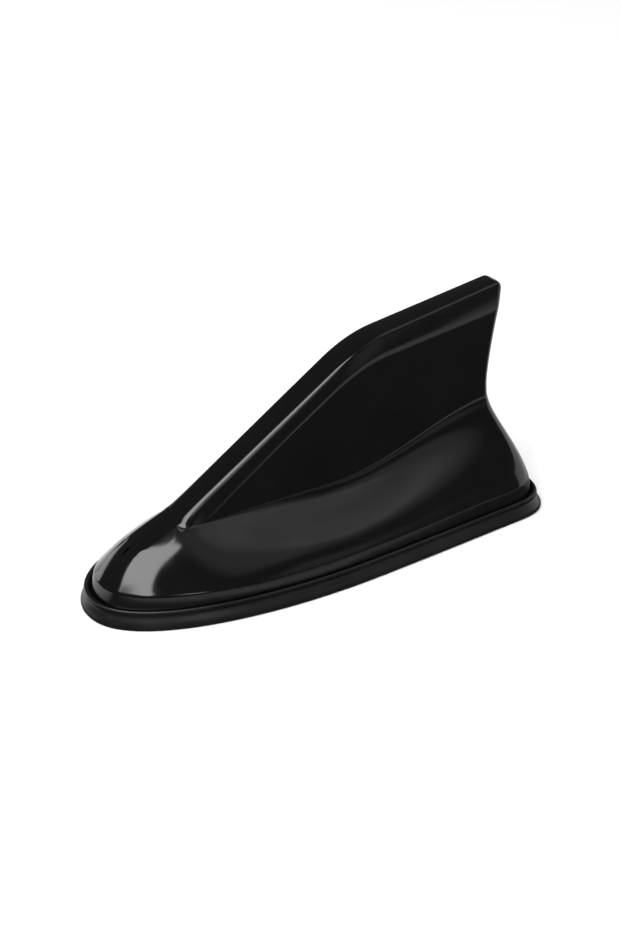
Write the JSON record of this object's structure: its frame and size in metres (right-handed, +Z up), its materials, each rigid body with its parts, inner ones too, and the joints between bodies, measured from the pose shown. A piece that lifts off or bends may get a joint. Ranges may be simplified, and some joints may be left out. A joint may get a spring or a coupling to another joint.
{
  "type": "shark fin aerial",
  "caption": "Black shark fin aerial for a car roof: a gloss moulded fin shell on a base plate with a rubber seal, holding an amplified radio element and a satellite patch.",
  "frame": {"origin": "middle of the underside of the seal, on the roof plane", "axes": "+X from the nose to the tail, +Z up from the roof, +Y across"},
  "size_m": [0.165, 0.0684, 0.0762],
  "materials": {
    "shell_plastic": "polished black moulding",
    "seal_rubber": "matt black rubber",
    "base_casting": "as cast",
    "pad_adhesive": "foam tape",
    "screw_steel": "zinc plated",
    "bush_brass": "turned",
    "grommet_rubber": "matt black rubber",
    "tinned_sheet": "tinned",
    "board_laminate": "green solder mask",
    "chip_plastic": "moulded epoxy",
    "chip_ceramic": "fired",
    "capacitor_can": "satin",
    "choke_winding": "enamelled wire on ferrite",
    "gold_plate": "gold plated",
    "carrier_plastic": "natural moulding",
    "coil_copper": "bare copper",
    "patch_ceramic": "fired",
    "tape_foam": "foam tape",
    "foam": "open foam"
  },
  "bodies": {
    "root": {"outer_shell": "shell_plastic", "seal_gasket": "seal_rubber", "base_plate": "base_casting", "adhesive_pad": "pad_adhesive", "shell_screws": "screw_steel", "roof_bush": "bush_brass", "cable_grommet": "grommet_rubber", "earth_plate": "tinned_sheet", "main_board": "board_laminate", "board_screws": "screw_steel", "shield_can": "tinned_sheet", "amplifier_chip": "chip_plastic", "chip_parts": "chip_ceramic", "power_regulator": "chip_plastic", "smoothing_capacitor": "capacitor_can", "tuning_coil": "choke_winding", "coax_sockets": "gold_plate", "element_carrier": "carrier_plastic", "carrier_screws": "screw_steel", "element_coil": "coil_copper", "element_plate": "tinned_sheet", "feed_clip": "gold_plate", "patch_aerial": "patch_ceramic", "patch_tape": "tape_foam", "patch_pin": "gold_plate", "rattle_foam": "foam"}
  },
  "joints": []
}
